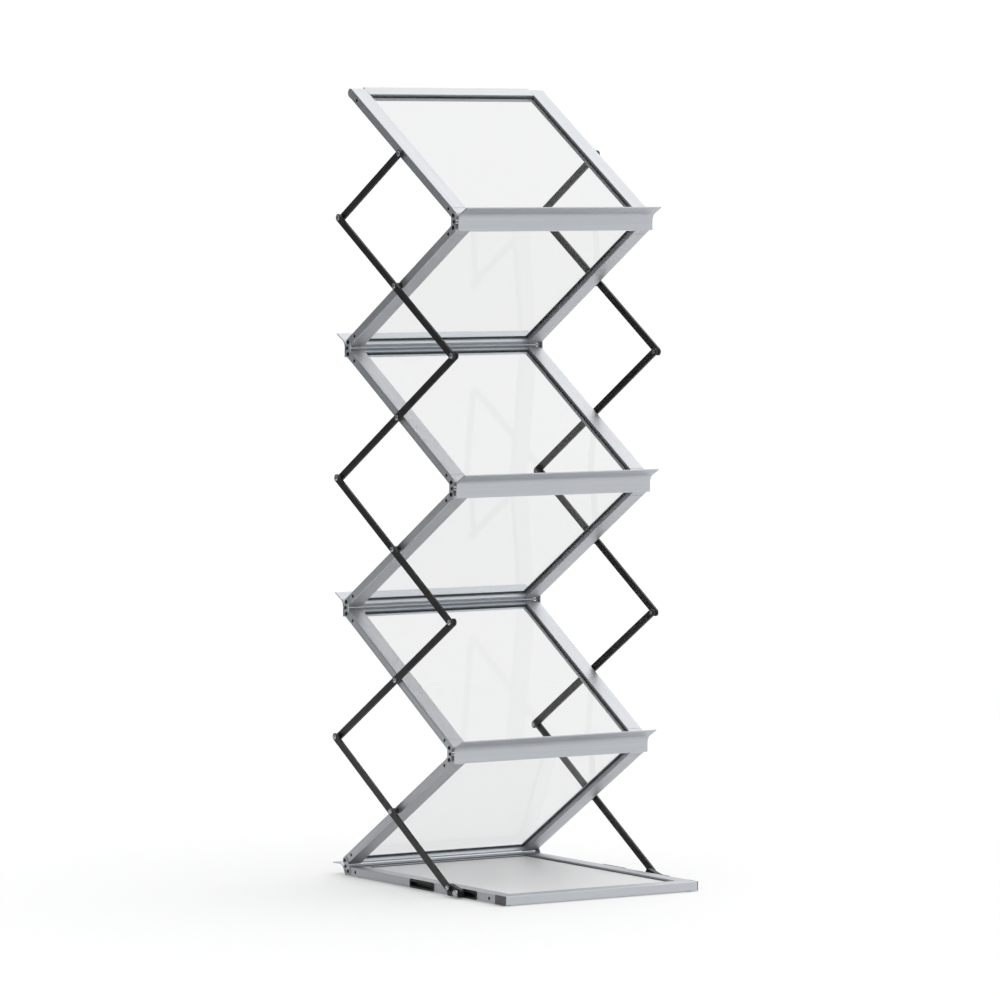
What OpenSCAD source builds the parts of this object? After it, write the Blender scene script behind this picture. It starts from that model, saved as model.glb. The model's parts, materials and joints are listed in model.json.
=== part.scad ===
// Folding brochure rack: a flat base, six hinged panels that stand in a zig-zag,
// a pocket lip at every fold and a scissor chain of arms on each side.
// X runs across the rack, -Y is its front and +Z is up. The origin is the centre of the
// footprint on the floor. Lengths are in millimetres.

/* [Stand] */
// Width over the side rails
rack_w = 390; // [340:5:450]
// Distance between the two hinge pins of a panel
panel_len = 370; // [350:5:390]
// Angle of every panel above the floor when the rack is set up
panel_angle = 32.4; // [30:0.2:34]
// Distance between the pins of two panels at a fold
fold_gap = 20; // [19.6:0.2:22]
// How much longer the top panel is, past the place of an upper pin
top_extra = 8; // [0:1:12]
// Length of the base, in front of the rear hinge pins
base_len = 474; // [466:1:500]

/* [Rails and sheets] */
// Width of a rail
rail_w = 28; // [24:1:32]
// Thickness of a rail
rail_t = 15; // [14.6:0.1:15.4]
// Wall of a hollow rail
rail_wall = 2; // [1.6:0.1:2.4]
// Thickness of a clear sheet
sheet_t = 3; // [2:0.5:4]
// Thickness of the feet under the base
foot_t = 1.5; // [1:0.1:2]

/* [Pocket lips] */
// How far a lip reaches out from the hinge pins
lip_reach = 38; // [34:1:42]
// Wall of a lip
lip_t = 1.8; // [1.5:0.1:2]
// Lowest edge of a lip, below the middle of the fold
lip_drop = 15.5; // [12:0.5:16]
// Lowest edge of the base lip, which is cut shorter to clear the floor
base_lip_drop = 11.5; // [8:0.5:12]
// Slope of the flared part of a lip
flare_angle = 28; // [24:1:32]
// Backward tilt of the lip that joins the base
base_lip_tilt = 30; // [26:1:31]

/* [Side arms] */
// Distance between the end pins of a side arm
arm_len = 406; // [404:1:408]
// Width of a side arm
arm_w = 12.5; // [10:0.5:13]
// Thickness of a side arm
arm_t = 3.5; // [3:0.1:3.6]

/* [Foot slides] */
// Length of a slot liner in the base
liner_len = 72; // [71:1:76]
// Distance of the spare rear liner's middle in front of the rear pins
rear_liner_at = 232; // [225:1:245]
// Distance of a lock knob in front of its foot pin
knob_offset = 23; // [20:1:25]

/* [Hidden] */
panel_count = 6;
levels = [1 : panel_count];
arc_steps = 8;
smooth = 48;
eps = 0.01;

// Radii of pins and screws
pin_r = 2.5;
pin_head_r = 3.4;
rivet_head_r = 4.6;
screw_head_r = 2.9;
screw_r = 1.6;
running = 0.05;
open_pin_gap = 0.35;

// Stations on either side, measured outwards from the outer face of the side rails
plate_in = 0.3;
plate_t = 1.5;
pin_head_in = plate_in + plate_t + 0.1;
pin_head_t = 0.9;
inner_arm_in = 3.3;
outer_arm_in = 10.5;
rivet_head_t = 1.5;
head_gap = 0.1;

// Screw port of a lip, between the noses of two panels
port_y = 2.5;
port_r = 1.1;

// Panel ends
nose_r = 7.2;
nose_len = 12;
tongue_len = 16;
tongue_gap = 0.1;
end_screw_at = 20;
top_screw_at = 31;
cross_nose_r = 6;
cross_len = 3;
top_rail_w = 22;
cap_len = 12;

// Front corners of the base
corner_screw_at = 45;
corner_cap_t = 3;

// Sheet and its glazing strip
sheet_mid = 2;
strip_wall = 1.2;
slot_d = 6;
strip_proud = 1.6;
// Depth of the sheet inside its slots, leaving room for the strip behind it
sheet_inset = 4;
cross_inset = 3;

half_w = rack_w / 2;
inner_w = half_w - rail_w;
pitch = panel_len * sin(panel_angle) + fold_gap;
run = panel_len * cos(panel_angle);

// Base lip: its two pins lean back by base_lip_tilt
base_mid_z = foot_t + rail_t / 2;
base_pin_back = fold_gap * sin(base_lip_tilt);
first_z = base_mid_z + fold_gap * cos(base_lip_tilt);

// Lip profile: a wall in front of the fold, then a flare that bends out of it
lip_wall_out = 13;
flare_r = 15;
flare_end = 90 + flare_angle;
flare_x = lip_wall_out + flare_r;
bend_out = [flare_x + flare_r * cos(flare_end), flare_r * sin(flare_end)];
bend_in = [flare_x + (flare_r + lip_t) * cos(flare_end), (flare_r + lip_t) * sin(flare_end)];
flare_run = lip_reach - bend_out[0];
tip_out = [lip_reach, bend_out[1] + flare_run * tan(flare_angle)];
tip_in = [bend_in[0] + flare_run, bend_in[1] + flare_run * tan(flare_angle)];

// The rear-most point is the tip of a lip, and the front-most is the base
base_lip_reach = tip_in[0] * cos(base_lip_tilt) + tip_in[1] * sin(base_lip_tilt) - base_pin_back / 2;
back_y = (base_len - max(lip_reach, base_lip_reach)) / 2;
front_y = back_y - run;
mid_y = back_y - run / 2;
base_front_y = back_y - base_len;
base_pin_y = back_y - base_pin_back;
base_sheet_end = base_pin_y - base_front_y - rail_w;

// Side arms
arm_angle = asin(pitch / arm_len);
arm_half_y = arm_len / 2 * cos(arm_angle);
folded_angle = asin(fold_gap / arm_len);
foot_y = mid_y - arm_half_y;
foot_z = first_z - fold_gap / 2;
foot_travel = panel_len / 2 * (1 - cos(panel_angle))
            + arm_len / 2 * (cos(folded_angle) - cos(arm_angle));

// Slot liners and the shoes that run in them
shoe_runner = 7;
slot_len = foot_travel + shoe_runner + 1;
slot_h = 7.6;
liner_h = 14;
liner_depth = 9;
front_liner_mid = foot_y - foot_travel / 2;
rear_liner_mid = back_y - rear_liner_at;
shoe_in = 1.3;
shoe_out = 10;

function is_odd(k) = k % 2 == 1;
function low_z(k) = first_z + (k - 1) * pitch;
function low_y(k) = is_odd(k) ? back_y : front_y;
function mid_z(k) = low_z(k) + (pitch - fold_gap) / 2;
function is_top(k) = k == panel_count;
function panel_end(k) = panel_len + (is_top(k) ? top_extra : 0);
function upper_screw(k) = panel_end(k) - (is_top(k) ? top_screw_at : end_screw_at);

// ---------------------------------------------------------------- helpers

// Points on an arc about (cx, cy)
function arc(cx, cy, r, from, to, steps = arc_steps) =
    [for (i = [0 : steps]) let (a = from + (to - from) * i / steps) [cx + r * cos(a), cy + r * sin(a)]];

// Rectangle with small rounded corners
function soft_box(x0, y0, x1, y1, r) = concat(
    arc(x1 - r, y1 - r, r, 0, 90, 3),
    arc(x0 + r, y1 - r, r, 90, 180, 3),
    arc(x0 + r, y0 + r, r, 180, 270, 3),
    arc(x1 - r, y0 + r, r, 270, 360, 3));

// Bar with round ends along the first axis
function stadium(len, r, steps = 16) = concat(
    arc(len, 0, r, -90, 90, steps),
    arc(0, 0, r, 90, 270, steps));

// Extrude an outline drawn in (Y, Z) from x0 to x1
module across(x0, x1) {
    translate([x0, 0, 0])
        rotate([90, 0, 90])
            linear_extrude(x1 - x0) children();
}

// Extrude an outline drawn in (X, Z) from y0 to y1
module lengthwise(y0, y1) {
    translate([0, y1, 0])
        rotate([90, 0, 0])
            linear_extrude(y1 - y0) children();
}

// Cylinder along X from x0 to x1 about (y, z)
module rod(x0, x1, r, y = 0, z = 0) {
    translate([x0, y, z])
        rotate([0, 90, 0])
            cylinder(h = x1 - x0, r = r, $fn = smooth);
}

module both_sides() {
    children();
    mirror([1, 0, 0]) children();
}

// Place a panel part: the lower pins are at the origin and the panel runs along +Y
module at_panel(k) {
    translate([0, low_y(k), low_z(k)])
        mirror([0, is_odd(k) ? 1 : 0, 0])
            rotate([panel_angle, 0, 0]) children();
}

// Place a lip part: the middle of the fold is at the origin and +Y points outwards
module at_fold(k) {
    if (k == 1)
        translate([0, back_y - base_pin_back / 2, (base_mid_z + first_z) / 2])
            rotate([-base_lip_tilt, 0, 0]) children();
    else
        translate([0, is_odd(k) ? back_y : front_y, low_z(k) - fold_gap / 2])
            mirror([0, is_odd(k) ? 0 : 1, 0]) children();
}

// ---------------------------------------------------------------- rails

// Hollow rail of the right side, with the sheet slot on its inner face
module rail_outline() {
    slot_z = sheet_mid - sheet_t / 2 - strip_wall;
    difference() {
        polygon(soft_box(inner_w, -rail_t / 2, half_w, rail_t / 2, 1));
        polygon(soft_box(inner_w + slot_d + rail_wall, rail_wall - rail_t / 2,
                         half_w - rail_wall, rail_t / 2 - rail_wall, 0.8));
        translate([inner_w - 1, slot_z])
            square([slot_d + 1, sheet_t + 2 * strip_wall]);
        for (z = [-4.6, 4.6])
            translate([half_w - 0.5, z - 0.6])
                square([1, 1.2]);
    }
}

// Outline of the solid tongue that plugs a rail's hollow
module tongue_outline() {
    polygon(soft_box(inner_w + slot_d + rail_wall + tongue_gap, rail_wall - rail_t / 2 + tongue_gap,
                     half_w - rail_wall - tongue_gap, rail_t / 2 - rail_wall - tongue_gap, 0.8));
}

module end_screw_holes(y) {
    rod(half_w - 10, half_w + 1, screw_r, y);
    rod(half_w - 1.4, half_w + 1, screw_head_r, y);
}

// Round hinge nose with its pin bore, on the lower end of the right rail
module hinge_nose() {
    difference() {
        union() {
            across(inner_w, half_w)
                polygon(concat(arc(0, 0, nose_r, 90, 270, 16),
                               [[nose_len, -nose_r], [nose_len, nose_r]]));
            lengthwise(nose_len - eps, nose_len + tongue_len) tongue_outline();
        }
        rod(half_w - 14, half_w + 1, pin_r);
        end_screw_holes(end_screw_at);
        sheet_notch(cross_len - cross_inset - 2, nose_len + 1);
    }
}

// Notch in a rail's end piece that carries on the sheet slot from y0 to y1
module sheet_notch(y0, y1) {
    t = sheet_t + 2 * strip_wall;
    translate([inner_w - 1, y0, sheet_mid - t / 2])
        cube([slot_d + 1, y1 - y0, t]);
}

// A right side rail from y0 to y1, with its end screw holes
module side_rail(y0, y1, screws) {
    difference() {
        lengthwise(y0, y1) rail_outline();
        for (y = screws) end_screw_holes(y);
        children();
    }
}

module panel_side_rails(k) {
    rail_end = panel_end(k) - (is_top(k) ? cap_len : nose_len);
    color("silver") at_panel(k) both_sides() {
        side_rail(nose_len, rail_end, [end_screw_at, upper_screw(k)])
            rod(half_w - 8, half_w + 1, pin_r, panel_len / 2);
        hinge_nose();
        if (!is_top(k)) translate([0, panel_len, 0]) mirror([0, 1, 0]) hinge_nose();
    }
}

// ---------------------------------------------------------------- cross rails

// Slim rail with a round nose, which holds the end of a sheet
module cross_outline() {
    slot_z = sheet_mid - sheet_t / 2 - strip_wall;
    difference() {
        polygon(concat(arc(0, 0, cross_nose_r, 90, 270, 16),
                       [[cross_len, -cross_nose_r], [cross_len, cross_nose_r]]));
        translate([cross_len - cross_inset - 1.5, slot_z])
            square([cross_inset + 2, sheet_t + 2 * strip_wall]);
    }
}

module flat_cross_outline(width) {
    slot_z = sheet_mid - sheet_t / 2 - strip_wall;
    difference() {
        polygon(soft_box(0, -rail_t / 2, width, rail_t / 2, 1));
        polygon(soft_box(rail_wall, rail_wall - rail_t / 2,
                         width - slot_d - rail_wall, rail_t / 2 - rail_wall, 0.8));
        translate([width - slot_d, slot_z])
            square([slot_d + 1, sheet_t + 2 * strip_wall]);
    }
}

module panel_cross_rails(k) {
    color("lightsteelblue") at_panel(k) {
        across(-inner_w, inner_w) cross_outline();
        translate([0, panel_end(k), 0]) mirror([0, 1, 0])
            across(-inner_w, inner_w)
                if (is_top(k)) flat_cross_outline(top_rail_w);
                else cross_outline();
    }
}

// ---------------------------------------------------------------- sheets

// Flat sheet from y0 to y1 between the rails' inner faces
module sheet(y0, y1, inset0, inset1) {
    translate([-inner_w - sheet_inset, y0 - inset0, sheet_mid - sheet_t / 2])
        cube([2 * (inner_w + sheet_inset), y1 - y0 + inset0 + inset1, sheet_t]);
}

// Glazing strip: a frame round the sheet's edge, standing a little proud of the rails
module glazing_strip(y0, y1, inset0, inset1) {
    t = sheet_t + 2 * strip_wall;
    outer_x = inner_w + sheet_inset + 1;
    inner_x = inner_w - strip_proud;
    difference() {
        translate([-outer_x, y0 - inset0 - 1, sheet_mid - t / 2])
            cube([2 * outer_x, y1 - y0 + inset0 + inset1 + 2, t]);
        translate([-inner_x, y0 + strip_proud, sheet_mid - t])
            cube([2 * inner_x, y1 - y0 - 2 * strip_proud, 2 * t]);
        sheet(y0, y1, inset0, inset1);
    }
}

function top_inset(k) = is_top(k) ? sheet_inset : cross_inset;
function sheet_top(k) = panel_end(k) - (is_top(k) ? top_rail_w : cross_len);

module panel_sheet(k) {
    color([0.92, 0.94, 0.95, 0.5]) at_panel(k)
        sheet(cross_len, sheet_top(k), cross_inset, top_inset(k));
}

module panel_glazing_strip(k) {
    color([0.2, 0.22, 0.24]) at_panel(k)
        glazing_strip(cross_len, sheet_top(k), cross_inset, top_inset(k));
}

// ---------------------------------------------------------------- pins and screws

module hinge_pin() {
    rod(half_w - 12, half_w + pin_head_in, pin_r);
    rod(half_w + pin_head_in, half_w + pin_head_in + pin_head_t, pin_head_r);
}

module end_screw(y) {
    rod(half_w - 9, half_w - 1.4, screw_r, y);
    rod(half_w - 1.4, half_w + 0.2, screw_head_r, y);
}

// Rivet that carries a side arm at the middle of a rail, with the bush behind the arm
module arm_rivet(arm_in) {
    arm_out = arm_in + arm_t + head_gap;
    rod(half_w - 6, half_w + arm_out, pin_r, panel_len / 2);
    rod(half_w + arm_out, half_w + arm_out + rivet_head_t, rivet_head_r, panel_len / 2);
    difference() {
        rod(half_w, half_w + arm_in - head_gap, 5, panel_len / 2);
        rod(half_w - 1, half_w + arm_in, pin_r, panel_len / 2);
    }
}

module panel_fasteners(k) {
    color("dimgray") at_panel(k) both_sides() {
        hinge_pin();
        if (!is_top(k)) translate([0, panel_len, 0]) hinge_pin();
        for (y = [end_screw_at, upper_screw(k)]) end_screw(y);
        arm_rivet(is_odd(k) ? outer_arm_in : inner_arm_in);
    }
}

// ---------------------------------------------------------------- pocket lips

// Lip wall with its flare, and the web and screw port between the two panels' noses
module lip_outline(drop) {
    wall_in = lip_wall_out - lip_t;
    difference() {
        union() {
            polygon(concat(
                [[wall_in, -drop], [lip_wall_out, -drop]],
                arc(flare_x, 0, flare_r, 180, flare_end, 10),
                [tip_out, tip_in],
                arc(flare_x, 0, flare_r + lip_t, flare_end, 180, 10)));
            translate([port_y, -1.2]) square([wall_in - port_y + eps, 2.4]);
            translate([port_y, 0]) circle(r = 2, $fn = smooth);
        }
        translate([port_y, 0]) circle(r = port_r, $fn = smooth);
    }
}

// End plate that carries both hinge pins and is screwed to the lip
module link_plate() {
    difference() {
        union() {
            across(half_w + plate_in, half_w + plate_in + plate_t)
                translate([0, -fold_gap / 2])
                    rotate(90) polygon(stadium(fold_gap, 6));
            rod(half_w, half_w + plate_in + plate_t, 1.9, port_y);
            rod(half_w + plate_in + plate_t - eps, half_w + pin_head_in + pin_head_t, 2.7, port_y);
        }
        for (z = [-1, 1])
            rod(half_w - 1, half_w + 4, pin_r + running, 0, z * fold_gap / 2);
    }
}

module lip(k) {
    color("lightgray") at_fold(k) {
        across(-half_w, half_w) lip_outline(k == 1 ? base_lip_drop : lip_drop);
        both_sides() link_plate();
    }
}

// ---------------------------------------------------------------- side arms

// One side arm lying along +Y from its rear pin, about (0, 0)
module arm_bar(len, x_in, bores) {
    difference() {
        across(half_w + x_in, half_w + x_in + arm_t) polygon(stadium(len, arm_w / 2));
        for (b = bores) rod(half_w + x_in - 1, half_w + x_in + arm_t + 1, b[1], b[0]);
    }
}

// Arms of one level, on both sides. Odd arms are the outer ones and rise to the back.
module arms(k) {
    slope = is_odd(k) ? arm_angle : -arm_angle;
    x_in = is_odd(k) ? outer_arm_in : inner_arm_in;
    node_r = is_odd(k) ? pin_r + open_pin_gap : pin_r;
    half = arm_len / 2;
    color([0.15, 0.15, 0.15]) translate([0, mid_y, mid_z(k)]) rotate([slope, 0, 0]) both_sides()
        if (is_top(k))
            arm_bar(half, x_in, [[0, pin_r + running], [half, node_r]]);
        else
            translate([0, -half, 0])
                arm_bar(arm_len, x_in, [[0, k == 1 ? pin_r : node_r], [half, pin_r + running],
                                        [arm_len, node_r]]);
}

// Pins at the ends of an even pair of arms, which carry the odd arms outside them
module node_pin(y) {
    inner_in = inner_arm_in - head_gap;
    outer_out = outer_arm_in + arm_t + head_gap;
    rod(half_w + inner_in - 1.1, half_w + inner_in, 4, y);
    rod(half_w + inner_in, half_w + outer_out, pin_r, y);
    rod(half_w + outer_out, half_w + outer_out + rivet_head_t, rivet_head_r, y);
    difference() {
        rod(half_w + inner_arm_in + arm_t, half_w + outer_arm_in - 0.4, 5, y);
        rod(half_w, half_w + outer_out, pin_r, y);
    }
}

module arm_pins(k) {
    half = arm_len / 2;
    color("gainsboro") translate([0, mid_y, mid_z(k)]) rotate([-arm_angle, 0, 0]) both_sides() {
        node_pin(half);
        if (!is_top(k)) node_pin(-half);
    }
}

// ---------------------------------------------------------------- base

// Place a base part: the hinge pins are at the origin and the base runs along +Y
module at_base() {
    translate([0, base_pin_y, base_mid_z]) mirror([0, 1, 0]) children();
}

module base_side_rails() {
    color("silver") at_base() both_sides() {
        corner_screw = base_pin_y - base_front_y - corner_screw_at;
        side_rail(nose_len, base_sheet_end, [end_screw_at, corner_screw])
            for (y = [front_liner_mid, rear_liner_mid]) liner_body(base_pin_y - y, 0);
        hinge_nose();
    }
}

module base_cross_rails() {
    color("lightsteelblue") {
        at_base()
            across(-inner_w, inner_w) cross_outline();
        translate([0, base_front_y, base_mid_z])
            across(corner_cap_t - half_w, half_w - corner_cap_t) flat_cross_outline(rail_w);
    }
}

module base_sheet() {
    color([0.85, 0.86, 0.88]) at_base()
        sheet(cross_len, base_sheet_end, cross_inset, sheet_inset);
}

module base_glazing_strip() {
    color([0.2, 0.22, 0.24]) at_base()
        glazing_strip(cross_len, base_sheet_end, cross_inset, sheet_inset);
}

// Cap on the right end of the front rail, with a plug in the rail's hollow
module corner_cap() {
    corner = 2.5;
    plate_inner = half_w - corner_cap_t;
    clear = rail_wall + tongue_gap;
    translate([0, 0, -rail_t / 2])
        linear_extrude(rail_t)
            polygon(concat(arc(half_w - corner, corner, corner, 270, 360),
                           [[half_w, rail_w], [plate_inner, rail_w], [plate_inner, 0]]));
    across(plate_inner - tongue_len, plate_inner + eps)
        polygon(soft_box(clear, clear - rail_t / 2, rail_w - slot_d - clear, rail_t / 2 - clear, 0.8));
}

// Corner fittings: the front rail's end caps, and the tongues that join it to the side rails
module base_corner_caps() {
    color([0.45, 0.45, 0.45]) both_sides() translate([0, base_front_y, base_mid_z]) {
        corner_cap();
        difference() {
            lengthwise(rail_w, rail_w + tongue_len + 12) tongue_outline();
            end_screw_holes(corner_screw_at);
        }
    }
}

module base_feet() {
    color([0.2, 0.2, 0.2]) both_sides()
        for (y = [base_front_y + 16, base_pin_y - 24])
            translate([half_w - rail_w / 2, y, 0])
                cylinder(h = foot_t, r = 9, $fn = smooth);
}

module base_fasteners() {
    color([0.15, 0.15, 0.15]) both_sides() translate([0, 0, base_mid_z]) {
        translate([0, base_pin_y, 0]) hinge_pin();
        end_screw(base_pin_y - end_screw_at);
        end_screw(base_front_y + corner_screw_at);
    }
}

// Round-ended block of a slot liner about y, grown by gap all round
module liner_body(y, gap) {
    r = 5.2 + gap;
    across(half_w - liner_depth - gap, half_w + 0.1)
        translate([y - liner_len / 2 + 6, 0])
            polygon(stadium(liner_len - 12, r));
}

module slot_liner(y) {
    flange_r = liner_h / 2;
    difference() {
        union() {
            liner_body(y, -0.01);
            across(half_w + 0.01, half_w + 0.8)
                polygon(soft_box(y - liner_len / 2, -flange_r, y + liner_len / 2, flange_r + 0.9, 3.5));
        }
        across(half_w - liner_depth + 1.5, half_w + 2)
            translate([y - slot_len / 2 + slot_h / 2, 0])
                polygon(stadium(slot_len - slot_h, slot_h / 2));
    }
}

module slot_liners() {
    color([0.1, 0.1, 0.1]) both_sides() translate([0, 0, base_mid_z])
        for (y = [front_liner_mid, rear_liner_mid]) slot_liner(y);
}

// ---------------------------------------------------------------- shoes and lock knobs

// Carriage at the foot of the lowest arm, with a runner in the front slot liner
module shoes() {
    rear = 6;
    front = knob_offset + 9;
    top_z = foot_z - base_mid_z;
    color([0.12, 0.12, 0.12]) both_sides() translate([0, foot_y, base_mid_z]) difference() {
        union() {
            across(half_w + shoe_in, half_w + shoe_out)
                polygon(concat([[-front, -6.5]], arc(rear - 4, -2.5, 4, 270, 360, 6),
                               arc(0, top_z, rear, 0, 120, 8),
                               arc(-front + 4, 2.5, 4, 90, 180, 6)));
            rod(half_w - liner_depth + 2.2, half_w + shoe_in + eps, shoe_runner / 2);
        }
        rod(half_w - 3, half_w + shoe_out + 1, pin_r + running, 0, top_z);
        rod(half_w + 3, half_w + shoe_out + 1, 4.2, -knob_offset);
        rod(half_w, half_w + 5, 2, -knob_offset);
    }
}

// Pins that join the lowest arms to the shoes
module foot_pins() {
    outer_out = outer_arm_in + arm_t + head_gap;
    color("gainsboro") both_sides() {
        rod(half_w + 3, half_w + outer_out, pin_r, foot_y, foot_z);
        rod(half_w + outer_out, half_w + outer_out + rivet_head_t, rivet_head_r, foot_y, foot_z);
    }
}

// Sprung knob that is pulled outwards to free a shoe
module lock_knob() {
    translate([0, foot_y - knob_offset, base_mid_z]) {
        rod(half_w + 2, half_w + 6, 2 - running);
        rod(half_w + 4, half_w + 12, 4.2 - 2 * running);
        rod(half_w + 11, half_w + 15.5, 6);
    }
}

module lock_knob_right() {
    color("gainsboro") lock_knob();
}

module lock_knob_left() {
    color("gainsboro") mirror([1, 0, 0]) lock_knob();
}

// Rounded plugs in the upper ends of the top panel's rails
module top_end_caps() {
    end = panel_end(panel_count);
    start = end - cap_len;
    color([0.25, 0.25, 0.25]) at_panel(panel_count) both_sides() difference() {
        union() {
            across(inner_w, half_w)
                polygon(concat([[start, rail_t / 2], [start, -rail_t / 2]],
                               arc(end - rail_t / 2, 0, rail_t / 2, -90, 90, 16)));
            lengthwise(start - tongue_len - 10, start + eps) tongue_outline();
        }
        end_screw_holes(upper_screw(panel_count));
    }
}

// ---------------------------------------------------------------- nodes

base_side_rails();
base_cross_rails();
base_sheet();
base_glazing_strip();
base_corner_caps();
base_feet();
base_fasteners();
slot_liners();
shoes();
foot_pins();
lock_knob_left();
lock_knob_right();
top_end_caps();
for (k = levels) {
    lip(k);
    arms(k);
    panel_side_rails(k);
    panel_cross_rails(k);
    panel_sheet(k);
    panel_glazing_strip(k);
    panel_fasteners(k);
}
for (k = [2, 4, 6])
    arm_pins(k);
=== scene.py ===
"""Looks of a folding brochure rack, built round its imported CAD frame.

Metres, +Z up, the front of the rack faces -Y. Places come from the frame's nodes and joints.
"""
import json
import math

import bmesh
import bpy
from mathutils import Matrix, Vector, noise


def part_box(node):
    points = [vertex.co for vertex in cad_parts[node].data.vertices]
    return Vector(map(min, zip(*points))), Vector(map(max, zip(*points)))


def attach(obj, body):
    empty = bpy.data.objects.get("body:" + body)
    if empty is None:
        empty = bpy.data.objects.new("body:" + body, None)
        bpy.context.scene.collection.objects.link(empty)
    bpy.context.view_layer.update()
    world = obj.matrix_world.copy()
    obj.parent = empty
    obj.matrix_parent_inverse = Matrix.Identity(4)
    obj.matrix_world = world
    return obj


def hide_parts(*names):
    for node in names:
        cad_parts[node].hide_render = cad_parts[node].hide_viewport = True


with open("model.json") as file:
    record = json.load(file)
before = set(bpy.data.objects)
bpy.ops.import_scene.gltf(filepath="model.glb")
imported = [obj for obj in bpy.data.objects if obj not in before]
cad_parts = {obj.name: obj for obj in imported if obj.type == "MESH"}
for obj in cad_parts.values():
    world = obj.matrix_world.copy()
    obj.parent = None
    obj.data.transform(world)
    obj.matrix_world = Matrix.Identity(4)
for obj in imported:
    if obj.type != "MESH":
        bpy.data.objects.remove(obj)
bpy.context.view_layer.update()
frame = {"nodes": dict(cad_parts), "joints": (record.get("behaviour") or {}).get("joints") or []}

MM = 0.001
PANELS = range(1, 7)
SIDES = (-1, 1)
ACROSS = Vector((1, 0, 0))
UP = Vector((0, 0, 1))

# Stations on either side, in millimetres outwards from the outer face of the side rails
PLATE_OUT = 1.8
PIN_SEAT = 1.9
INNER_ARM = 3.3
OUTER_ARM = 10.5
SCREW_SEAT = -1.4
PIN_TIP = -12
SCREW_TIP = -9
ARM_RIVET_TIP = -6
FOOT_RIVET_TIP = 3

# Sizes of the hardware, in millimetres
ARM_THICKNESS = 3.5
ARM_HALF_WIDTH = 6.25
HEAD_GAP = 0.1
SPACER_GAP = 0.4
TOUCH_GAP = 0.02
PIN_RADIUS = 2.5
PIN_HEAD_RADIUS = 3.4
SCREW_HEAD_RADIUS = 2.9
SPACER_RADIUS = 5
FLANGE_RADIUS = 4
FLANGE_THICKNESS = 1.1
RIVET_HEAD_RADIUS = 4.6
PAD_RADIUS = 9


# ---------------------------------------------------------------- places from the frame

joint_at = {j["name"]: Vector(j["pos_m"]) for j in frame["joints"] if "pos_m" in j}
rail_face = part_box("panel1_side_rails")[1].x


def lower_pin(k):
    return joint_at["fold"] if k == 1 else joint_at[f"panel_{k}_hinge"]


def panel_axes(k):
    """Unit vectors along panel k, from its lower to its upper pins, and out of its upper face."""
    along = (joint_at[f"arm_{k}_pivot"] - lower_pin(k)).normalized()
    upward = ACROSS.cross(along)
    return along, upward if upward.z > 0 else -upward


def panel_tilt(k):
    """Angle about +X that turns the row's Y axis to the line of panel k."""
    along, _ = panel_axes(k)
    return math.atan2(along.z, along.y) if along.y > 0 else math.atan2(-along.z, -along.y)


def local_box(node, origin, along, upward):
    """Lowest and highest corner of a CAD node in axes of its own."""
    spans = []
    for axis in (ACROSS, along, upward):
        reach = [(v.co - origin).dot(axis) for v in frame["nodes"][node].data.vertices]
        spans.append((min(reach), max(reach)))
    return spans


# ---------------------------------------------------------------- node helpers

# Radius of the edge band that is lightened, partly as wear and partly as a painted highlight
WORN_HIGHLIT_EDGE = 0.6


def new_material(name):
    material = bpy.data.materials.new(name)
    material.use_nodes = True
    return material, material.node_tree, material.node_tree.nodes["Principled BSDF"]


def add(tree, kind, values=None, links=None, **settings):
    """A new node with its settings, socket values and incoming links."""
    node = tree.nodes.new(kind)
    for key, value in settings.items():
        setattr(node, key, value)
    for socket, value in (values or {}).items():
        node.inputs[socket].default_value = value
    for socket, source in (links or {}).items():
        tree.links.new(source, node.inputs[socket])
    return node


def place(tree, grain, tilt=0.0):
    """Object coordinates divided by the size of the grain, in millimetres, on axes tilted about X."""
    source = add(tree, "ShaderNodeTexCoord").outputs["Object"]
    mapping = add(
        tree,
        "ShaderNodeMapping",
        {"Rotation": (tilt, 0, 0), "Scale": [size * MM for size in grain]},
        {"Vector": source},
        vector_type="TEXTURE",
    )
    return mapping.outputs["Vector"]


def cloud(tree, grain, tilt=0.0, detail=2.0, roughness=0.5):
    """Noise from 0 to 1 whose features have the size of the grain."""
    node = add(
        tree,
        "ShaderNodeTexNoise",
        {"Scale": 1.0, "Detail": detail, "Roughness": roughness},
        {"Vector": place(tree, grain, tilt)},
    )
    return node.outputs["Fac"]


def spread(tree, source, low, high, start=0.3, stop=0.7):
    """source from start to stop, stretched to low to high."""
    node = add(
        tree,
        "ShaderNodeMapRange",
        {"From Min": start, "From Max": stop, "To Min": low, "To Max": high},
        {"Value": source},
    )
    return node.outputs["Result"]


def combine(tree, operation, first, second):
    """first and second, each a socket or a number, through one Math node."""
    node = add(tree, "ShaderNodeMath", operation=operation)
    for socket, value in zip(node.inputs, (first, second)):
        if isinstance(value, (int, float)):
            socket.default_value = value
        else:
            tree.links.new(value, socket)
    return node.outputs[0]


def blend_colours(tree, factor, first, second):
    node = add(tree, "ShaderNodeMix", data_type="RGBA")
    sockets = {s.identifier: s for s in node.inputs}
    tree.links.new(factor, sockets["Factor_Float"])
    for name, value in (("A_Color", first), ("B_Color", second)):
        if isinstance(value, tuple):
            sockets[name].default_value = (*value, 1)
        else:
            tree.links.new(value, sockets[name])
    return next(s for s in node.outputs if s.identifier == "Result_Color")


def bump(tree, bsdf, height, depth_mm, strength):
    node = add(
        tree,
        "ShaderNodeBump",
        {"Strength": strength, "Distance": depth_mm * MM},
        {"Height": height},
    )
    tree.links.new(node.outputs["Normal"], bsdf.inputs["Normal"])


def rough(tree, bsdf, fine, broad):
    """Roughness as the sum of a fine and a broad variation."""
    tree.links.new(combine(tree, "ADD", fine, broad), bsdf.inputs["Roughness"])


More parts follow.
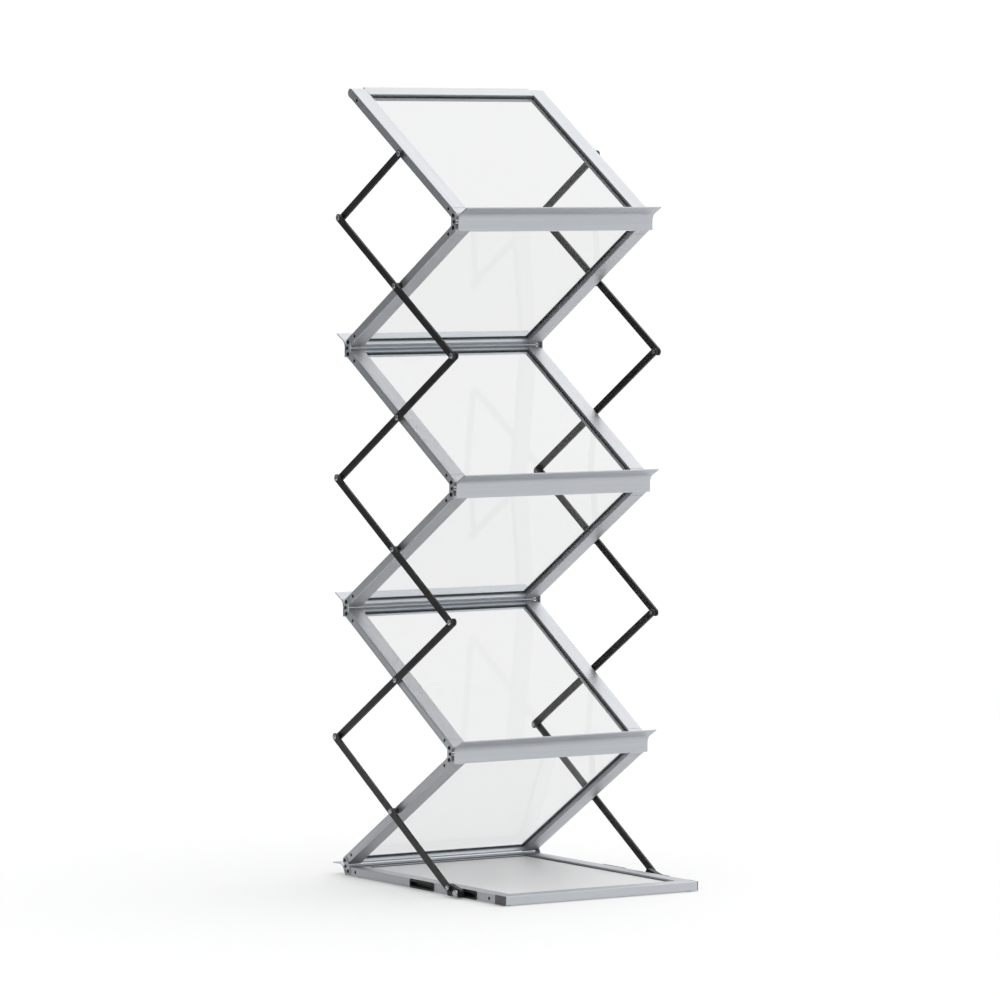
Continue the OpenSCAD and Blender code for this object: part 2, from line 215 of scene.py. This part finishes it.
def edge_wear_and_highlight(tree, patch_mm):
    """1 along edges and 0 on faces, broken up into patches: where edges are lightened, partly as
    rubbed wear and partly as a painted highlight on their rounding.
    """
    rounded = add(tree, "ShaderNodeBevel", {"Radius": WORN_HIGHLIT_EDGE * MM}, samples=8)
    flat = add(tree, "ShaderNodeNewGeometry")
    match = add(
        tree,
        "ShaderNodeVectorMath",
        links={0: rounded.outputs["Normal"], 1: flat.outputs["Normal"]},
        operation="DOT_PRODUCT",
    )
    edge = spread(tree, match.outputs["Value"], 1.0, 0.0, start=0.8, stop=0.97)
    patches = spread(tree, cloud(tree, (patch_mm,) * 3, detail=4.0), 0.0, 1.0, 0.42, 0.62)
    return combine(tree, "MULTIPLY", edge, patches)


# ---------------------------------------------------------------- materials


def anodised(name, colour, line_axis, tilt=0.0):
    """Satin anodised extrusion with fine drawing lines along one axis."""
    material, tree, bsdf = new_material(name)
    fine = [0.5, 0.5, 0.5]
    broad = [4.0, 4.0, 4.0]
    fine["xyz".index(line_axis)] = 60.0
    broad["xyz".index(line_axis)] = 400.0
    lines = cloud(tree, fine, tilt, detail=3.0, roughness=0.6)
    bands = cloud(tree, broad, tilt)
    haze = cloud(tree, (70, 70, 70), detail=3.0)
    broad_part = combine(tree, "MULTIPLY", bands, 0.6)
    shade = combine(tree, "ADD", broad_part, combine(tree, "MULTIPLY", haze, 0.4))
    # The first two bound the random tone; the brighter third copy goes on the edges, partly as worn
    # metal and partly as a painted highlight
    dark, light, edge_highlight = (tuple(gain * c for c in colour) for gain in (0.95, 1.05, 1.25))
    base = blend_colours(tree, spread(tree, shade, 0, 1), dark, light)
    worn_and_highlit = edge_wear_and_highlight(tree, 9)
    tree.links.new(blend_colours(tree, worn_and_highlit, base, edge_highlight), bsdf.inputs["Base Color"])
    bsdf.inputs["Metallic"].default_value = 1.0
    rough(tree, bsdf, spread(tree, lines, 0.46, 0.54), spread(tree, haze, -0.02, 0.03))
    bump(tree, bsdf, lines, 0.01, 0.3)
    return material


def satin_black(name):
    """Powder-coated arms: an orange-peel film, dust in the roughness, edges lightened to grey, partly
    as rubbed wear and partly as a painted highlight.
    """
    material, tree, bsdf = new_material(name)
    peel = cloud(tree, (0.7, 0.7, 0.7), detail=2.0)
    haze = cloud(tree, (30, 30, 30), detail=4.0)
    dust = spread(tree, haze, 0, 1)
    film = blend_colours(tree, dust, (0.010, 0.010, 0.011), (0.020, 0.019, 0.018))
    # Edges lightened to grey: partly rubbed wear, partly a painted highlight
    worn_and_highlit = edge_wear_and_highlight(tree, 14)
    tree.links.new(blend_colours(tree, worn_and_highlit, film, (0.035, 0.036, 0.04)), bsdf.inputs["Base Color"])
    rough(tree, bsdf, spread(tree, peel, 0.30, 0.40), spread(tree, haze, -0.04, 0.10))
    bsdf.inputs["Specular IOR Level"].default_value = 0.3
    bump(tree, bsdf, peel, 0.008, 0.5)
    return material


def moulded(name, dark, light, roughness, grain_mm=0.35):
    """Moulded plastic or rubber with a fine spark-eroded grain and a few rubbed spots."""
    material, tree, bsdf = new_material(name)
    grain = cloud(tree, (grain_mm,) * 3, detail=3.0, roughness=0.7)
    rubbed = cloud(tree, (14, 14, 14), detail=4.0)
    tint = blend_colours(tree, spread(tree, rubbed, 0, 1), dark, light)
    tree.links.new(tint, bsdf.inputs["Base Color"])
    fine = spread(tree, grain, roughness, roughness + 0.12)
    rough(tree, bsdf, fine, spread(tree, rubbed, 0.04, -0.08))
    bsdf.inputs["Specular IOR Level"].default_value = 0.35
    bump(tree, bsdf, grain, 0.05, 0.6)
    return material


def plated(name, dark, light, low, high):
    """Plated or blackened metal with fine scratches and faint stains."""
    material, tree, bsdf = new_material(name)
    scratches = cloud(tree, (0.25, 2.5, 0.25), detail=4.0, roughness=0.7)
    stains = cloud(tree, (3, 3, 3), detail=3.0)
    tint = blend_colours(tree, spread(tree, stains, 0, 1), dark, light)
    tree.links.new(tint, bsdf.inputs["Base Color"])
    bsdf.inputs["Metallic"].default_value = 1.0
    rough(tree, bsdf, spread(tree, scratches, low, high), spread(tree, stains, -0.03, 0.05))
    bump(tree, bsdf, scratches, 0.01, 0.5)
    return material


def clear_acrylic(name, tint):
    """Clear sheet with a grey tint, wiping haze and hairline scratches.

    Its low index keeps the sheet's own reflections faint.
    """
    material, tree, bsdf = new_material(name)
    wipes = cloud(tree, (120, 18, 120), detail=4.0)
    hairs = cloud(tree, (0.6, 45, 45), detail=2.0)
    marks = combine(tree, "MULTIPLY", spread(tree, wipes, 0, 1), spread(tree, hairs, 0, 1, 0.55, 0.75))
    bsdf.inputs["Base Color"].default_value = (*tint, 1)
    bsdf.inputs["Transmission Weight"].default_value = 1.0
    bsdf.inputs["IOR"].default_value = 1.1
    rough(tree, bsdf, combine(tree, "MULTIPLY", marks, 0.03), spread(tree, wipes, 0.0, 0.015))
    return material


def frosted_acrylic(name):
    """Milky base sheet: it hardly shows what is under it."""
    material, tree, bsdf = new_material(name)
    haze = cloud(tree, (90, 90, 90), detail=3.0)
    grain = cloud(tree, (0.5, 0.5, 0.5), detail=3.0, roughness=0.7)
    milk = blend_colours(tree, spread(tree, haze, 0, 1), (0.95, 0.95, 0.95), (0.98, 0.98, 0.98))
    tree.links.new(milk, bsdf.inputs["Base Color"])
    rough(tree, bsdf, spread(tree, grain, 0.34, 0.42), spread(tree, haze, -0.03, 0.03))
    bsdf.inputs["Transmission Weight"].default_value = 0.1
    bsdf.inputs["IOR"].default_value = 1.49
    bump(tree, bsdf, grain, 0.01, 0.4)
    return material


SILVER = (0.51, 0.522, 0.54)
# Much lighter copy of SILVER for the cross rails of all but the top panel: painted light
CROSS_SILVER_PAINTED_LIGHT = (0.80, 0.84, 0.88)
LIP_SILVER = (0.51, 0.53, 0.555)
BASE_SILVER = (0.53, 0.55, 0.575)

material = {
    "lip": anodised("lip_anodised", LIP_SILVER, "x"),
    "arm": satin_black("arm_powder_coat"),
    # The glazing strips are lifted from black to mid grey: painted shade, standing in for the rails'
    # inner faces in shade beside them
    "strip": moulded("strip_rubber_painted_shade", (0.10, 0.115, 0.12), (0.13, 0.145, 0.15), 0.45),
    "black": moulded("black_nylon", (0.008, 0.008, 0.009), (0.016, 0.016, 0.016), 0.42),
    "grey": moulded("grey_nylon", (0.08, 0.08, 0.08), (0.12, 0.12, 0.12), 0.42),
    "foot": moulded("foot_rubber", (0.015, 0.015, 0.015), (0.035, 0.035, 0.035), 0.65, 0.6),
    "chrome": plated("nickel_plate", (0.32, 0.34, 0.38), (0.48, 0.50, 0.54), 0.1, 0.24),
    "screw": plated("black_oxide", (0.025, 0.026, 0.03), (0.06, 0.06, 0.065), 0.25, 0.42),
    "clear": clear_acrylic("clear_acrylic", (0.83, 0.832, 0.834)),
    "frosted": frosted_acrylic("frosted_acrylic"),
}


def dress(node, chosen):
    """Give a CAD node its finish."""
    for slot in frame["nodes"][node].material_slots:
        slot.material = chosen


def dress_frame():
    flat_side = anodised("base_side_anodised", SILVER, "y")
    flat_cross = anodised("base_cross_anodised", BASE_SILVER, "x")
    dress("base_side_rails", flat_side)
    dress("base_cross_rails", flat_cross)
    leaning = {}
    for k in (1, 2):
        way = "back" if k == 1 else "front"
        # These cross rails get the lighter copy of the silver, as painted light
        leaning[k % 2] = (
            anodised(f"side_anodised_{way}", SILVER, "y", panel_tilt(k)),
            anodised(f"cross_anodised_{way}", CROSS_SILVER_PAINTED_LIGHT, "x", panel_tilt(k)),
        )
    for k in PANELS:
        side, cross = leaning[k % 2]
        dress(f"panel{k}_side_rails", side)
        dress(f"panel{k}_cross_rails", cross)
        dress(f"panel{k}_glazing_strip", material["strip"])
        dress(f"lip{k}", material["lip"])
        dress(f"arms{k}", material["arm"])
    for node, finish in (
        ("base_glazing_strip", "strip"),
        ("base_corner_caps", "grey"),
        ("slot_liners", "black"),
        ("shoes", "black"),
    ):
        dress(node, material[finish])
    dress("top_end_caps", leaning[0][0])
    # The top panel's cross rails keep the plain silver, without the painted light the lower ones get
    top = PANELS[-1]
    dress(f"panel{top}_cross_rails", anodised("top_cross_anodised", SILVER, "x", panel_tilt(top)))


# ---------------------------------------------------------------- piece helpers

CREASE = math.radians(35)


def finish_mesh(name, bm, finish, body, replaced=()):
    """Turn a bmesh into a named piece with smooth faces and sharp creases, riding on a body."""
    bmesh.ops.recalc_face_normals(bm, faces=bm.faces)
    for face in bm.faces:
        face.smooth = True
    for edge in bm.edges:
        edge.smooth = len(edge.link_faces) == 2 and edge.calc_face_angle() < CREASE
    mesh = bpy.data.meshes.new(name)
    bm.to_mesh(mesh)
    bm.free()
    mesh.materials.append(material[finish])
    piece = bpy.data.objects.new(name, mesh)
    bpy.context.scene.collection.objects.link(piece)
    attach(piece, body)
    if replaced:
        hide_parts(*replaced)


def round_outline(_angle):
    return 1.0


def hex_outline(angle):
    """Six-sided outline of the same corner radius."""
    part = angle % (math.pi / 3) - math.pi / 6
    return math.cos(math.pi / 6) / math.cos(part)


def knurled_outline(angle):
    return 1.0 - 0.035 * (0.5 + 0.5 * math.cos(24 * angle))


def bridge(bm, first, second):
    """Faces between two closed loops with the same number of vertices."""
    for i in range(len(first)):
        j = (i + 1) % len(first)
        bm.faces.new((first[i], first[j], second[j], second[i]))


def turned(bm, rings, centre, axis, steps=36, closed=False):
    """Add one turned part. rings are (height mm, radius mm, outline) along axis from centre.

    An open part is capped at both ends. A closed one joins its last ring to its first, as a tube does.
    """
    across = axis.orthogonal().normalized()
    up = axis.cross(across)
    loops = []
    for height, radius, outline in rings:
        middle = centre + axis * height * MM
        loop = []
        for i in range(steps):
            angle = 2 * math.pi * i / steps
            reach = radius * outline(angle) * MM
            point = middle + across * reach * math.cos(angle) + up * reach * math.sin(angle)
            loop.append(bm.verts.new(point))
        loops.append(loop)
    for first, second in zip(loops, loops[1:]):
        bridge(bm, first, second)
    if closed:
        bridge(bm, loops[-1], loops[0])
    else:
        bm.faces.new(loops[0][::-1])
        bm.faces.new(loops[-1])


def shaft(start, stop, radius):
    return [(start, radius, round_outline), (stop, radius, round_outline)]


def socket_head(seat, height, radius, socket, depth):
    """Head from its seat outwards, with a hexagonal socket of its own radius and depth."""
    top = seat + height
    return [
        (seat, radius, round_outline),
        (top - 0.25, radius, round_outline),
        (top, radius - 0.35, round_outline),
        (top, socket + 0.15, round_outline),
        (top, socket, hex_outline),
        (top - depth, socket, hex_outline),
    ]


def domed_head(seat):
    """Low domed rivet head with the dimple that setting it leaves."""
    radius = RIVET_HEAD_RADIUS
    return [
        (seat, radius - 0.25, round_outline),
        (seat + 0.25, radius, round_outline),
        (seat + 0.7, radius - 0.2, round_outline),
        (seat + 1.15, radius - 0.95, round_outline),
        (seat + 1.42, radius - 2.0, round_outline),
        (seat + 1.5, radius - 2.7, round_outline),
        (seat + 1.3, radius - 3.2, round_outline),
    ]


def disc(start, stop, radius, chamfer):
    return [
        (start, radius - chamfer, round_outline),
        (start + chamfer, radius, round_outline),
        (stop - chamfer, radius, round_outline),
        (stop, radius - chamfer, round_outline),
    ]


def washer(start, stop):
    """Spacer round a pin, with chamfered rims, as the outline of a closed part."""
    rim = disc(start, stop, SPACER_RADIUS, chamfer=0.4)
    return [(start, PIN_RADIUS, round_outline), *rim, (stop, PIN_RADIUS, round_outline)]


def side_places(spots):
    """For each spot, the point beside it on either rail's outer face, and the axis outwards."""
    for spot in spots:
        for side in SIDES:
            yield Vector((side * rail_face, spot.y, spot.z)), Vector((side, 0, 0))


def turned_on_sides(bm, rings, spots, closed=False):
    for centre, axis in side_places(spots):
        turned(bm, rings, centre, axis, closed=closed)


# ---------------------------------------------------------------- screws, pins and rivets

# Each from its inner end to its head, measured outwards from the rail's outer face
HINGE_PIN = shaft(PIN_TIP, PIN_SEAT, PIN_RADIUS) + socket_head(
    PIN_SEAT, height=0.9, radius=PIN_HEAD_RADIUS, socket=1.5, depth=0.495
)
END_SCREW = shaft(SCREW_TIP, SCREW_SEAT, radius=1.6) + socket_head(
    SCREW_SEAT, height=1.6, radius=SCREW_HEAD_RADIUS - TOUCH_GAP, socket=1.45, depth=0.88
)
LIP_SCREW = socket_head(PLATE_OUT, height=1.2, radius=2.8, socket=1.3, depth=0.15)

SCREW_FROM_PIN = 20 * MM
TOP_SCREW_FROM_PIN = 23 * MM
LIP_SCREW_FROM_FOLD = 2.5


def panel_ends(k):
    """Places of panel k's hinge pins and of its end screws."""
    start = lower_pin(k)
    middle = joint_at[f"arm_{k}_pivot"]
    along, _ = panel_axes(k)
    stop = 2 * middle - start
    is_top = k == PANELS[-1]
    pins = [start] if is_top else [start, stop]
    upper = stop - along * (TOP_SCREW_FROM_PIN if is_top else SCREW_FROM_PIN)
    return pins, [start + along * SCREW_FROM_PIN, upper]


def build_panel_hardware(k):
    pins, screws = panel_ends(k)
    bm = bmesh.new()
    turned_on_sides(bm, HINGE_PIN, pins)
    turned_on_sides(bm, END_SCREW, screws)
    finish_mesh(
        f"panel{k}_screws", bm, "screw", f"panel_{k}", [f"panel{k}_fasteners"]
    )
    arm_in = OUTER_ARM if k % 2 else INNER_ARM
    arm_out = arm_in + ARM_THICKNESS + HEAD_GAP
    middle = [joint_at[f"arm_{k}_pivot"]]
    bm = bmesh.new()
    rivet = shaft(ARM_RIVET_TIP, arm_out, PIN_RADIUS) + domed_head(arm_out)
    turned_on_sides(bm, rivet, middle)
    finish_mesh(f"panel{k}_arm_rivets", bm, "chrome", f"panel_{k}")
    bm = bmesh.new()
    turned_on_sides(bm, washer(TOUCH_GAP, arm_in - HEAD_GAP), middle, closed=True)
    finish_mesh(f"panel{k}_arm_bushes", bm, "black", f"panel_{k}")


def arm_ends(k):
    """Centres of the end pins of an even pair of arms, the rear one first."""
    low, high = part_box(f"arms{k}")
    half = ARM_HALF_WIDTH * MM
    middle = joint_at[f"arm_{k}_pivot"]
    rear = Vector((0, high.y - half, low.z + half))
    return [rear] if k == PANELS[-1] else [rear, 2 * middle - rear]


def build_elbows(k):
    """Pins and spacers where the arms of two levels meet."""
    outer = OUTER_ARM + ARM_THICKNESS + HEAD_GAP
    inner = INNER_ARM - HEAD_GAP
    bm = bmesh.new()
    flange = disc(inner - FLANGE_THICKNESS, inner, FLANGE_RADIUS, chamfer=0.25)
    rivet = flange + shaft(inner, outer, PIN_RADIUS) + domed_head(outer)
    turned_on_sides(bm, rivet, arm_ends(k))
    finish_mesh(f"arms{k}_elbow_rivets", bm, "chrome", f"arm_{k}", [f"arms{k}_pins"])
    bm = bmesh.new()
    spacer = washer(INNER_ARM + ARM_THICKNESS, OUTER_ARM - SPACER_GAP)
    turned_on_sides(bm, spacer, arm_ends(k), closed=True)
    finish_mesh(f"arms{k}_elbow_spacers", bm, "black", f"arm_{k}")


def base_places():
    """Centres of the base's front end screws and of its hinge pins, halfway between the sides."""
    low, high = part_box("base_fasteners")
    level = (low.z + high.z) / 2
    screw = Vector((0, low.y + SCREW_HEAD_RADIUS * MM, level))
    return screw, Vector((0, high.y - PIN_HEAD_RADIUS * MM, level))


def fold_centre(k):
    """Middle of the fold that lip k closes, and the unit vector out of the lip."""
    if k > 1:
        upper, lower = joint_at[f"lip_{k}_hinge"], lower_pin(k)
        return (upper + lower) / 2, Vector((0, 1 if k % 2 else -1, 0))
    _, base_pin = base_places()
    upper = lower_pin(1)
    rise = (upper - base_pin).normalized()
    return (upper + base_pin) / 2, Vector((0, rise.z, -rise.y))


def build_lip_screws(k):
    centre, outward = fold_centre(k)
    bm = bmesh.new()
    turned_on_sides(bm, LIP_SCREW, [centre + outward * LIP_SCREW_FROM_FOLD * MM])
    body = "root" if k == 1 else f"lip_{k}"
    finish_mesh(f"lip{k}_screws", bm, "screw", body)


def build_base_hardware():
    front_screw, pin = base_places()
    bm = bmesh.new()
    turned_on_sides(bm, HINGE_PIN, [pin])
    turned_on_sides(bm, END_SCREW, [pin - Vector((0, SCREW_FROM_PIN, 0)), front_screw])
    finish_mesh("base_screws", bm, "screw", "root", ["base_fasteners"])


def build_foot_pins():
    seat = OUTER_ARM + ARM_THICKNESS + HEAD_GAP
    rivet = shaft(FOOT_RIVET_TIP, seat, PIN_RADIUS) + domed_head(seat)
    bm = bmesh.new()
    turned_on_sides(bm, rivet, [joint_at["shoe_pivot"]])
    finish_mesh("foot_rivets", bm, "chrome", "arm_1", ["foot_pins"])


def build_lock_knobs():
    """Turned knobs with a knurled rim and a dished face."""
    knob = shaft(2, 4, 1.95) + shaft(4, 11, 4.1)
    knob += [
        (11.0, 5.3, round_outline),
        (11.5, 6.0, knurled_outline),
        (14.7, 6.0, knurled_outline),
        (15.3, 5.4, round_outline),
        (15.5, 4.7, round_outline),
        (15.15, 3.6, round_outline),
        (15.0, 1.2, round_outline),
    ]
    for name, side in zip(("left", "right"), SIDES):
        low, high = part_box(f"lock_knob_{name}")
        middle = (low + high) / 2
        centre = Vector((side * rail_face, middle.y, middle.z))
        bm = bmesh.new()
        turned(bm, knob, centre, Vector((side, 0, 0)), steps=96)
        piece, replaced = f"lock_knob_{name}_turned", [f"lock_knob_{name}"]
        finish_mesh(piece, bm, "chrome", f"lock_{name}", replaced)


def build_foot_pads():
    """Rubber pads with ring grooves on their undersides."""
    low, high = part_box("base_feet")
    edge = PAD_RADIUS * MM
    pad = [
        (0.5, 1.5, round_outline),
        (0.5, 2.6, round_outline),
        (0.0, 3.1, round_outline),
        (0.0, 4.4, round_outline),
        (0.5, 4.9, round_outline),
        (0.5, 5.9, round_outline),
        (0.0, 6.4, round_outline),
        (0.0, PAD_RADIUS - 0.6, round_outline),
        (0.4, PAD_RADIUS, round_outline),
        (1.5, PAD_RADIUS, round_outline),
    ]
    bm = bmesh.new()
    for x in (low.x + edge, high.x - edge):
        for y in (low.y + edge, high.y - edge):
            turned(bm, pad, Vector((x, y, 0)), UP, steps=48)
    finish_mesh("foot_pads", bm, "foot", "root", ["base_feet"])


# ---------------------------------------------------------------- sheets

SHEET_CELLS = 28
SHEET_EASE = 0.3 * MM
SHEET_WARP = 0.15 * MM
SHEET_WAVES_PER_METRE = 6


def build_sheet(name, node, body, finish, origin, along, upward):
    """Sheet with eased edges that bows a little between the strips that hold it."""
    (x0, x1), (y0, y1), (z0, z1) = local_box(node, origin, along, upward)
    steps = range(SHEET_CELLS + 1)
    bm = bmesh.new()

    def vertex(i, j, height, inset):
        u, v = i / SHEET_CELLS, j / SHEET_CELLS
        x = x0 + inset + (x1 - x0 - 2 * inset) * u
        y = y0 + inset + (y1 - y0 - 2 * inset) * v
        hold = math.sin(math.pi * u) * math.sin(math.pi * v)
        wave = noise.noise(Vector((x, y, origin.z)) * SHEET_WAVES_PER_METRE)
        lift = SHEET_WARP * hold * wave
        return bm.verts.new(origin + ACROSS * x + along * y + upward * (height + lift))

    def layer(height, inset):
        return [[vertex(i, j, height, inset) for i in steps] for j in steps]

    def rim(grid):
        bottom = grid[0]
        right = [row[-1] for row in grid[1:]]
        top = grid[-1][-2::-1]
        left = [row[0] for row in grid[-2:0:-1]]
        return bottom + right + top + left

    def edge_loop(height):
        return [vertex(i, j, height, 0) for i, j in rim([[(i, j) for i in steps] for j in steps])]

    lower, upper = layer(z0, SHEET_EASE), layer(z1, SHEET_EASE)
    for grid, flip in ((lower, True), (upper, False)):
        for j in range(SHEET_CELLS):
            for i in range(SHEET_CELLS):
                corners = [grid[j][i], grid[j][i + 1], grid[j + 1][i + 1], grid[j + 1][i]]
                bm.faces.new(corners[::-1] if flip else corners)
    loops = [rim(lower), edge_loop(z0 + SHEET_EASE), edge_loop(z1 - SHEET_EASE), rim(upper)]
    for first, second in zip(loops, loops[1:]):
        bridge(bm, first, second)
    finish_mesh(name, bm, finish, body, [node])


def build_sheets():
    for k in PANELS:
        along, upward = panel_axes(k)
        build_sheet(
            f"panel{k}_acrylic", f"panel{k}_sheet", f"panel_{k}", "clear",
            lower_pin(k), along, upward,
        )
    build_sheet(
        "base_acrylic", "base_sheet", "root", "frosted",
        Vector((0, 0, 0)), Vector((0, 1, 0)), UP,
    )


# ---------------------------------------------------------------- stage, light and camera

FLOOR_RADIUS = 4.5
FLOOR_CENTRE = (0.9, -1.4, 0)
FLOOR_GREY = (0.75, 0.75, 0.75, 1)
FLOOR_GLOW = 0.245

# Directions of the studio's light, and the colours of its parts
BRIGHT_SIDE = (0.62, -0.35, 0.70)
SOFTBOX = (0.56, 0.29, 0.77)
DIM_COLOUR = (0.16, 0.167, 0.178)
BRIGHT_COLOUR = (1.15, 1.15, 1.15)
SOFTBOX_COLOUR = (1.95, 1.95, 1.95)
BACKDROP_COLOUR = (1.03, 1.03, 1.03)

CAMERA_AT = Vector((-5.9096, -8.5655, 1.3058))
CAMERA_AZIMUTH = -34.446
CAMERA_ELEVATION = 3.656
CAMERA_ROLL = 0.454
FOCAL_MM = 225.15


def build_camera():
    data = bpy.data.cameras.new("camera")
    data.lens = FOCAL_MM
    data.sensor_width = 36.0
    data.clip_end = 100.0
    camera = bpy.data.objects.new("camera", data)
    bpy.context.scene.collection.objects.link(camera)
    turn = Matrix.Rotation(math.radians(CAMERA_AZIMUTH), 4, "Z")
    tip = Matrix.Rotation(math.radians(90 - CAMERA_ELEVATION), 4, "X")
    roll = Matrix.Rotation(math.radians(CAMERA_ROLL), 4, "Z")
    camera.matrix_world = Matrix.Translation(CAMERA_AT) @ turn @ tip @ roll
    bpy.context.scene.camera = camera


def build_floor():
    bm = bmesh.new()
    bmesh.ops.create_circle(bm, cap_ends=True, segments=96, radius=FLOOR_RADIUS)
    mesh = bpy.data.meshes.new("floor")
    bm.to_mesh(mesh)
    bm.free()
    surface, _, bsdf = new_material("floor_paper")
    bsdf.inputs["Base Color"].default_value = FLOOR_GREY
    bsdf.inputs["Roughness"].default_value = 0.9
    bsdf.inputs["Specular IOR Level"].default_value = 0.0
    bsdf.inputs["Emission Color"].default_value = (1, 1, 1, 1)
    bsdf.inputs["Emission Strength"].default_value = FLOOR_GLOW
    mesh.materials.append(surface)
    floor = bpy.data.objects.new("floor", mesh)
    floor.location = FLOOR_CENTRE
    bpy.context.scene.collection.objects.link(floor)


def toward(tree, direction, aim, start, stop):
    """0 to 1 as the world direction turns towards aim, from start to stop of their cosine."""
    cosine = add(
        tree,
        "ShaderNodeVectorMath",
        {1: Vector(aim).normalized()},
        {0: direction},
        operation="DOT_PRODUCT",
    ).outputs["Value"]
    return spread(tree, cosine, 0, 1, start, stop)


def build_world():
    """Studio that is bright on the right and dim behind on the left, with a soft light overhead.

    Rays straight from the camera, also through the sheets, see plain white instead.
    """
    world = bpy.data.worlds.new("studio")
    bpy.context.scene.world = world
    world.use_nodes = True
    tree = world.node_tree
    background = tree.nodes["Background"]
    direction = add(tree, "ShaderNodeTexCoord").outputs["Generated"]
    bright_side = toward(tree, direction, BRIGHT_SIDE, -0.7, 0.9)
    room = blend_colours(tree, bright_side, DIM_COLOUR, BRIGHT_COLOUR)
    softbox = toward(tree, direction, SOFTBOX, 0.78, 0.97)
    light = blend_colours(tree, softbox, room, SOFTBOX_COLOUR)
    path = add(tree, "ShaderNodeLightPath").outputs
    bounces = combine(tree, "ADD", path["Diffuse Depth"], path["Glossy Depth"])
    unturned = combine(tree, "LESS_THAN", bounces, 0.5)
    through = combine(tree, "MULTIPLY", path["Is Transmission Ray"], unturned)
    seen = combine(tree, "MAXIMUM", path["Is Camera Ray"], through)
    shown = blend_colours(tree, seen, light, BACKDROP_COLOUR)
    tree.links.new(shown, background.inputs["Color"])


# ---------------------------------------------------------------- build

build_camera()
build_world()
build_floor()
bpy.context.scene.view_settings.view_transform = "Standard"

dress_frame()
for level in PANELS:
    build_panel_hardware(level)
    build_lip_screws(level)
for level in (2, 4, 6):
    build_elbows(level)
build_base_hardware()
build_foot_pins()
build_lock_knobs()
build_foot_pads()
build_sheets()
